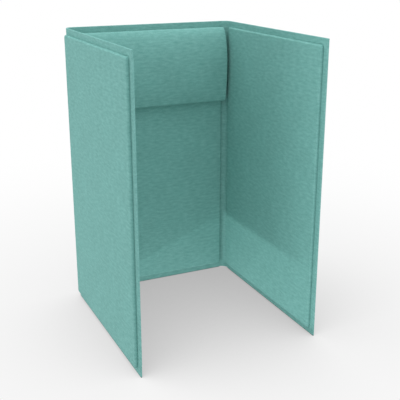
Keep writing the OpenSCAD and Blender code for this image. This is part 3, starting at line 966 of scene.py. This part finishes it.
class PARTITION_OT_headrest(bpy.types.Operator):
    """Make the bowed headrest cushion, its foam and the stitching of its end panels"""

    bl_idname = "partition.headrest"
    bl_label = "Headrest"

    def execute(self, context):
        rest, pads = context.scene.partition_headrest, context.scene.partition_pads
        low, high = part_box("headrest_cover")
        board_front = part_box("headrest_board")[0].y
        side = Side((0, -1, 0), ((low.x + high.x) / 2, high.y, 0))
        half = (high.x - low.x) / 2
        draw = pads.cloth + CLEARANCE
        seat = high.y - board_front + CLEARANCE
        thinnest = seat + LEAST + draw
        sections = self.cover(rest, pads, side, half, low.z, high.z, thinnest)
        self.filling(rest, side, half, low.z, high.z, seat, thinnest, draw)
        self.stitches(rest, side, sections)
        return {"FINISHED"}

    def cover(self, rest, pads, side, half, low, high, thinnest):
        """The cushion's cover, with its hem turned in behind. It is held near the back and free in
        front."""
        sewn, sections, behind = rest_shape(rest, half, low, high, 0, thinnest)
        window = half - rest.end_radius - pads.hem
        hem = behind.copy()
        hem[:, 0] = np.clip(hem[:, 0], -window, window)
        hem[:, 2] = np.clip(hem[:, 2], low + pads.hem, high - pads.hem)
        turned = np.array([hem, behind])
        sewn.add(turned, turned[:, :, ::2])
        sewn.place(side)
        piece = new_piece(sewn.mesh("headrest_cloth"), material_of("woven_wool"))
        outwards = side.local(coordinates(piece.data))[:, 1]
        hold(piece, 1 - np.clip((outwards - HELD_DEPTH) / LOOSENING, 0, 1))
        swell([piece], pressure=0.5, most=rest.swell)
        thicken(piece, pads.cloth)
        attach(piece, "back")
        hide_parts("headrest_cover")
        return sections

    def filling(self, rest, side, half, low, high, seat, thinnest, draw):
        """The foam between the cover and the cushion's board."""
        sewn, sections, _ = rest_shape(rest, half, low, high, seat, thinnest - draw, draw)
        behind = np.array([
            np.column_stack([np.full(len(rows), x), np.full(len(rows), seat), rows[:, 1]])
            for x, rows in sections
        ]).transpose(1, 0, 2)
        sewn.add(behind[::-1], behind[::-1, :, ::2])
        sewn.place(side)
        piece = new_piece(sewn.mesh("headrest_filling"), material_of("open_cell_foam"))
        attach(piece, "back")
        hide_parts("headrest_foam")

    def stitches(self, rest, side, sections):
        """A row of stitches inside the seam of each end panel."""
        thread = material_of("sewing_thread")
        tree = stitch_tree(thread)
        sizes = {"Pitch": rest.stitch_pitch, "Length": rest.stitch_length, "Thread": rest.thread,
                 "Rise": 0.6 * rest.thread}
        for name, section in (("right", sections[2]), ("left", sections[-3])):
            path = seam_path(side, section, STITCH_START)
            row = grow("headrest_" + name + "_stitches", path, tree, sizes, thread)
            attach(row, "back")


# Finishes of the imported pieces, and what they are made of


def material_of(name):
    """The named finish, made when it is first needed."""
    if name in bpy.data.materials:
        return bpy.data.materials[name]
    if name in FINISHES:
        return plain_finish(name, *FINISHES[name])
    return woven_wool(bpy.context.scene.partition_cloth)


# Roughness, IOR, sheen, darker and lighter shade, size of the grain along X, Y and Z and height of
# the relief, both in millimetres, and detail of the grain
FINISHES = {
    # Cut polyether foam: open cells of about a millimetre, dull and pale
    "open_cell_foam": (0.95, 1.45, 0, "#D8CFAF", "#F1EAD2", (1.3, 1.3, 1.3), 0.5, 3),
    # Dry-process fibreboard: pressed wood dust, even and slightly speckled
    "fibreboard": (0.7, 1.5, 0, "#A98A62", "#BE9F75", (1.8, 1.8, 1.8), 0.05, 5),
    # Rotary-cut poplar plywood: long pale grain that runs up the panel
    "poplar_plywood": (0.6, 1.5, 0, "#C8AC7F", "#DEC79E", (4, 4, 90), 0.06, 4),
    # Injection-moulded natural nylon: off-white, a low satin gloss and a fine spark-eroded texture
    "moulded_nylon": (0.38, 1.53, 0, "#DDDCD3", "#E6E5DD", (0.9, 0.9, 0.9), 0.02, 3),
    # Extruded soft vinyl: drawn lines along the strip, dark teal to go unseen under the cloth
    "extruded_vinyl": (0.5, 1.53, 0, "#3F6C67", "#48776F", (12, 12, 0.7), 0.04, 3),
    # Closed-cell foam rubber sheet: charcoal, with a fine skin
    "foam_rubber": (0.85, 1.52, 0, "#4A4D4F", "#5A5E60", (0.9, 0.9, 0.9), 0.12, 3),
    # Woven nylon hook tape: rows of stiff hooks 1.6 mm apart
    "hook_tape": (0.55, 1.53, 0, "#3C4042", "#565B5D", (1.6, 1.6, 1.6), 0.5, 1),
    # Brushed nylon loop tape: a soft pile
    "loop_tape": (0.9, 1.53, 0.3, "#4C7F78", "#66988F", (0.8, 0.8, 0.8), 0.4, 3),
    # Bonded polyester sewing thread: twisted, with a slight lustre
    "sewing_thread": (0.5, 1.58, 0, "#6FA8A0", "#8CC0B8", (0.5, 0.5, 0.5), 0.08, 3),
}

PACKED_FINISHES = {
    "core_board": "fibreboard",
    "pad_board": "poplar_plywood",
    "clips": "moulded_nylon",
    "wear_strip": "extruded_vinyl",
}
TAPES = {"headrest_hook_tapes": "hook_tape", "headrest_loop_tapes": "loop_tape"}


class PARTITION_OT_hardware(bpy.types.Operator):
    """Give the boards, clips, strips and tapes their finishes"""

    bl_idname = "partition.hardware"
    bl_label = "Boards and fixings"

    def execute(self, context):
        for part in frame["record"]["subparts"]:
            finish = TAPES.get(part["node"]) or PACKED_FINISHES.get(part["material_slot"])
            if finish:
                packed = frame["nodes"][part["node"]]
                packed.data.materials.clear()
                packed.data.materials.append(material_of(finish))
        return {"FINISHED"}


# Stage


class PARTITION_OT_stage(bpy.types.Operator):
    """Make the floor, the light and the camera"""

    bl_idname = "partition.stage"
    bl_label = "Stage"

    def execute(self, context):
        stage = context.scene.partition_stage
        self.floor(stage)
        self.light(stage)
        self.camera(stage)
        context.scene.view_settings.view_transform = "Standard"
        return {"FINISHED"}

    def floor(self, stage):
        """A pale floor that the screen shades softly, and that fades to white away from it."""
        material = bpy.data.materials.new("studio_floor")
        material.use_nodes = True
        tree = material.node_tree
        tree.nodes.clear()
        paint = add_node(tree, "ShaderNodeBsdfDiffuse", {"Color": stage.floor})
        lean = add_node(tree, "ShaderNodeCombineXYZ", dict(zip("XYZ", FLOOR_LEAN)))
        open_sky = add_node(tree, "ShaderNodeAmbientOcclusion",
                            {"Distance": stage.reach, "Normal": lean}, samples=32)
        shade = add_node(tree, "ShaderNodeValToRGB", {"Fac": open_sky.outputs["AO"]})
        ramp = shade.color_ramp
        ramp.elements[0].color = (stage.closed_floor,) * 3 + (1,)
        ramp.elements[1].color = (stage.open_floor,) * 3 + (1,)
        for part, glow in ((HALF_OPEN_SKY, stage.half_floor), (NEARLY_OPEN_SKY, NEARLY_OPEN_FLOOR)):
            ramp.elements.new(part).color = (glow,) * 3 + (1,)
        place = add_node(tree, "ShaderNodeTexCoord").outputs["Object"]
        far = vector_maths(tree, "LENGTH", place).outputs["Value"]
        fade = add_node(tree, "ShaderNodeMapRange",
                        {"Value": far, "From Min": FADE_FROM, "From Max": FADE_TO},
                        interpolation_type="SMOOTHSTEP")
        seen = add_node(tree, "ShaderNodeMix", {"Factor": fade, "A": shade, "B": 1.0},
                        data_type="FLOAT")
        glow = add_node(tree, "ShaderNodeEmission", {"Color": (1, 1, 1, 1), "Strength": seen})
        surface = add_node(tree, "ShaderNodeMixShader",
                           {"Fac": self.seen_directly(tree), 1: paint, 2: glow})
        add_node(tree, "ShaderNodeOutputMaterial", {"Surface": surface})
        corners = [(x * FLOOR_HALF, y * FLOOR_HALF, 0)
                   for x, y in ((-1, -1), (1, -1), (1, 1), (-1, 1))]
        floor = self.sheet("studio_floor", corners, material)
        floor.visible_diffuse = False
        floor.visible_shadow = False

    def sheet(self, name, corners, material):
        """One flat face that belongs to the stage."""
        mesh = bpy.data.meshes.new(name)
        mesh.from_pydata(corners, [], [(0, 1, 2, 3)])
        piece = new_piece(mesh, material)
        return piece

    def seen_directly(self, tree):
        """1 for what the camera sees, also in gloss and through glass."""
        path = add_node(tree, "ShaderNodeLightPath").outputs
        seen = maths(tree, "MAXIMUM", path["Is Camera Ray"], path["Is Glossy Ray"])
        return maths(tree, "MAXIMUM", seen, path["Is Transmission Ray"])

    def light(self, stage):
        """Soft light from all round, stronger from some sides and from above, and the low lamp."""
        world = bpy.data.worlds.new("studio")
        bpy.context.scene.world = world
        world.use_nodes = True
        tree = world.node_tree
        tree.nodes.clear()
        towards = add_node(tree, "ShaderNodeTexCoord").outputs["Generated"]
        away = vector_maths(tree, "SCALE", towards, Scale=-1.0)
        strength = stage.sky
        for direction, extra in ((towards, stage.sky_over), (away, stage.sky_under)):
            ahead = vector_maths(tree, "MAXIMUM", direction, (0, 0, 0))
            part = vector_maths(tree, "DOT_PRODUCT", ahead, extra)
            strength = maths(tree, "ADD", part.outputs["Value"], strength)
        rise = add_node(tree, "ShaderNodeSeparateXYZ", {"Vector": towards}).outputs["Z"]
        rise = maths(tree, "MAXIMUM", rise, 0.0)
        narrow = maths(tree, "POWER", rise, OVERHEAD_FOCUS)
        strength = maths(tree, "MULTIPLY_ADD", narrow, stage.overhead, strength)
        sky = add_node(tree, "ShaderNodeBackground", {"Color": (1, 1, 1, 1), "Strength": strength})
        white = add_node(tree, "ShaderNodeBackground", {"Color": (1, 1, 1, 1), "Strength": 1.0})
        both = add_node(tree, "ShaderNodeMixShader",
                        {"Fac": self.seen_directly(tree), 1: sky, 2: white})
        add_node(tree, "ShaderNodeOutputWorld", {"Surface": both})
        self.low_lamp(stage)
        self.card()

    def low_lamp(self, stage):
        """The lamp below the floor, linked to the pieces that it lights."""
        data = bpy.data.lights.new("low_lamp", "AREA")
        data.shape = "RECTANGLE"
        data.size, data.size_y = LOW_LAMP_SIZE
        data.energy = stage.low_lamp
        lamp = bpy.data.objects.new("low_lamp", data)
        lit = bpy.data.collections.new("lit_by_low_lamp")
        for name in LIT_BY_LOW_LAMP:
            lit.objects.link(bpy.data.objects[name])
        lamp.light_linking.receiver_collection = lit
        self.aim(lamp, LOW_LAMP_PLACE, Vector(LOW_LAMP_AIM) - Vector(LOW_LAMP_PLACE))

    def card(self):
        """The card that keeps the low lamp off the lowest edge."""
        corners = [(CARD_X, CARD_FRONT, CARD_LOW), (CARD_X, CARD_BACK, CARD_LOW),
                   (CARD_X, CARD_BACK, CARD_HIGH), (CARD_X, CARD_FRONT, CARD_HIGH)]
        card = self.sheet("low_lamp_card", corners, bpy.data.materials["studio_floor"])
        card.visible_camera = False
        card.visible_diffuse = False
        card.visible_glossy = False

    def aim(self, item, place, ahead):
        """Puts a lamp or camera in its place, looking ahead."""
        item.location = place
        item.rotation_mode = "QUATERNION"
        item.rotation_quaternion = ahead.to_track_quat("-Z", "Y")
        bpy.context.scene.collection.objects.link(item)

    def camera(self, stage):
        """The camera, at the photograph's viewing angle."""
        data = bpy.data.cameras.new("camera")
        data.lens = stage.lens
        data.sensor_width = 36
        camera = bpy.data.objects.new("camera", data)
        back = Vector((
            math.sin(stage.azimuth) * math.cos(stage.elevation),
            -math.cos(stage.azimuth) * math.cos(stage.elevation),
            math.sin(stage.elevation),
        ))
        self.aim(camera, stage.eye, -back)
        bpy.context.scene.camera = camera


class PARTITION_PT_panel(bpy.types.Panel):
    """The screen's sizes and colours, and the steps that make it"""

    bl_idname = "PARTITION_PT_panel"
    bl_label = "Seating partition"
    bl_space_type = "VIEW_3D"
    bl_region_type = "UI"
    bl_category = "Partition"

    def draw(self, context):
        for step in STEPS:
            self.layout.operator(step.bl_idname)
        for name, settings in SETTINGS.items():
            box = self.layout.box()
            for prop in settings.__annotations__:
                box.prop(getattr(context.scene, name), prop)


SETTINGS = {
    "partition_cloth": ClothSettings,
    "partition_flange": FlangeSettings,
    "partition_pads": PadSettings,
    "partition_headrest": HeadrestSettings,
    "partition_stage": StageSettings,
}
STEPS = (
    PARTITION_OT_flange,
    PARTITION_OT_pads,
    PARTITION_OT_headrest,
    PARTITION_OT_hardware,
    PARTITION_OT_stage,
)


def register():
    for each in (*SETTINGS.values(), *STEPS, PARTITION_PT_panel):
        bpy.utils.register_class(each)
    for name, settings in SETTINGS.items():
        setattr(bpy.types.Scene, name, PointerProperty(type=settings))


def unregister():
    for name in SETTINGS:
        delattr(bpy.types.Scene, name)
    for each in (PARTITION_PT_panel, *reversed(STEPS), *reversed(SETTINGS.values())):
        bpy.utils.unregister_class(each)


def main():
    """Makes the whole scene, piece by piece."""
    register()
    bpy.ops.partition.flange()
    bpy.ops.partition.pads()
    bpy.ops.partition.headrest()
    bpy.ops.partition.hardware()
    bpy.ops.partition.stage()


if __name__ == "__main__":
    main()
